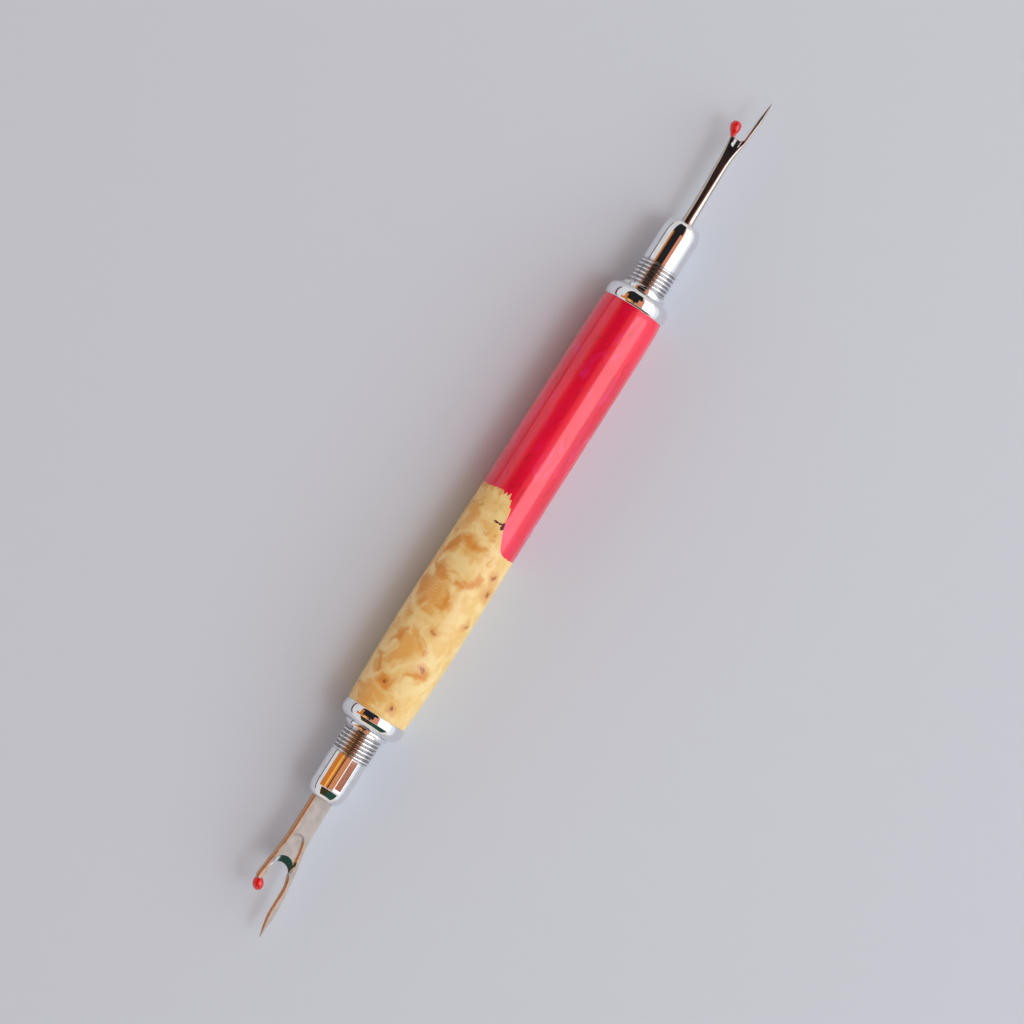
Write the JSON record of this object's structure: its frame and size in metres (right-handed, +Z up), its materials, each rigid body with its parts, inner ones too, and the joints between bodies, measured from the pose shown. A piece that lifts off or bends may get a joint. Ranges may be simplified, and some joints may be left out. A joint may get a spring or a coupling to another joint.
{
  "type": "seam ripper",
  "caption": "Seam ripper with a turned burl and red resin handle, and a screw-in forked steel blade with a small red bead at each end.",
  "frame": {"origin": "on the surface the tool lies on, under the middle of the handle", "axes": "+X along the tool's axis towards the small blade, +Z up away from the surface, both beads on the +Y side"},
  "size_m": [0.1884, 0.0138, 0.0137],
  "materials": {
    "burl_wood": "stabilised burl under a clear gloss finish",
    "red_resin": "pearlescent cast resin under a clear gloss finish",
    "tube_brass": "drawn tube, glued in the bore",
    "fitting_chrome": "polished chrome plating",
    "polished_steel": "polished bright steel",
    "brushed_steel": "fine satin steel with bright ground edges",
    "bead_plastic": "smooth moulded plastic"
  },
  "bodies": {
    "handle": {"burl_section": "burl_wood", "resin_section": "red_resin", "brass_tube": "tube_brass", "small_end_coupler": "fitting_chrome", "large_end_coupler": "fitting_chrome"},
    "small_ring": {"small_stop_ring": "fitting_chrome"},
    "small_tip": {"small_tip_holder": "fitting_chrome", "small_blade": "polished_steel", "small_bead": "bead_plastic"},
    "large_ring": {"large_stop_ring": "fitting_chrome"},
    "large_tip": {"large_tip_holder": "fitting_chrome", "large_blade": "brushed_steel", "large_bead": "bead_plastic"}
  },
  "joints": [
    {"name": "small_tip_travel", "type": "slide", "parent": "handle", "child": "small_ring", "axis": [1, 0, 0], "range_m": [0, 0.0072]},
    {"name": "small_tip_screw", "type": "hinge", "parent": "small_ring", "child": "small_tip", "pos_m": [0.05, 0, 0.00685], "axis": [1, 0, 0], "range_deg": [0, 3242]},
    {"name": "large_tip_travel", "type": "slide", "parent": "handle", "child": "large_ring", "axis": [-1, 0, 0], "range_m": [0, 0.0072]},
    {"name": "large_tip_screw", "type": "hinge", "parent": "large_ring", "child": "large_tip", "pos_m": [-0.05, 0, 0.00685], "axis": [-1, 0, 0], "range_deg": [0, 3242]}
  ],
  "couplings": [
    {"joint": "small_tip_screw", "follows": "small_tip_travel", "rad_per_m": 7854},
    {"joint": "large_tip_screw", "follows": "large_tip_travel", "rad_per_m": 7854}
  ]
}
